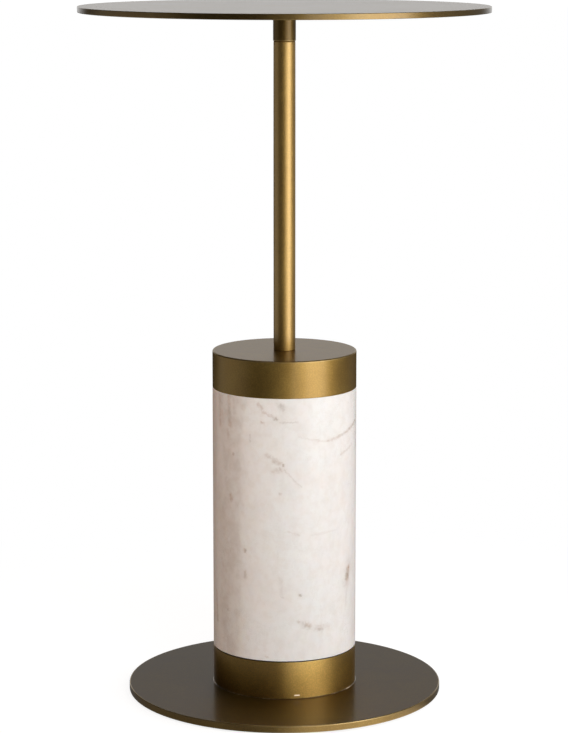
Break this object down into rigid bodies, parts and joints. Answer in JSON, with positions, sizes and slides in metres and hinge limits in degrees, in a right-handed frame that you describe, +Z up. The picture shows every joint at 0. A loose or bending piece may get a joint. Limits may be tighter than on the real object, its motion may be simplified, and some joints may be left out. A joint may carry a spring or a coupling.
{
  "type": "wine table",
  "caption": "Small round pedestal table: thin metal top on a slim stem, marble cylinder clamped between metal cups, and a flat round base on felt pads.",
  "frame": {"origin": "on the floor, under the axis that all the turned pieces share", "axes": "+Z up along the stem; the table is round, so +X and +Y are free, with a felt pad on each"},
  "size_m": [0.357, 0.357, 0.61],
  "materials": {
    "antique_brass": "satin",
    "marble": "polished",
    "zinc_steel": "satin",
    "gasket_rubber": "matte",
    "felt": "matte"
  },
  "bodies": {
    "root": {"felt_pads": "felt", "base_plate": "antique_brass", "foot_cup": "antique_brass", "foot_weld": "antique_brass", "base_washer": "zinc_steel", "base_nut": "zinc_steel", "tie_rod": "zinc_steel", "foot_gasket": "gasket_rubber", "marble_column": "marble", "clamp_pad": "gasket_rubber", "clamp_plate": "zinc_steel", "clamp_washer": "zinc_steel", "spring_washer": "zinc_steel", "clamp_nut": "zinc_steel", "cap": "antique_brass", "stem_lower_plug": "zinc_steel", "stem_tube": "antique_brass", "stem_upper_plug": "zinc_steel", "top_stud": "zinc_steel", "top_boss": "antique_brass", "top_plate": "antique_brass"}
  },
  "joints": []
}
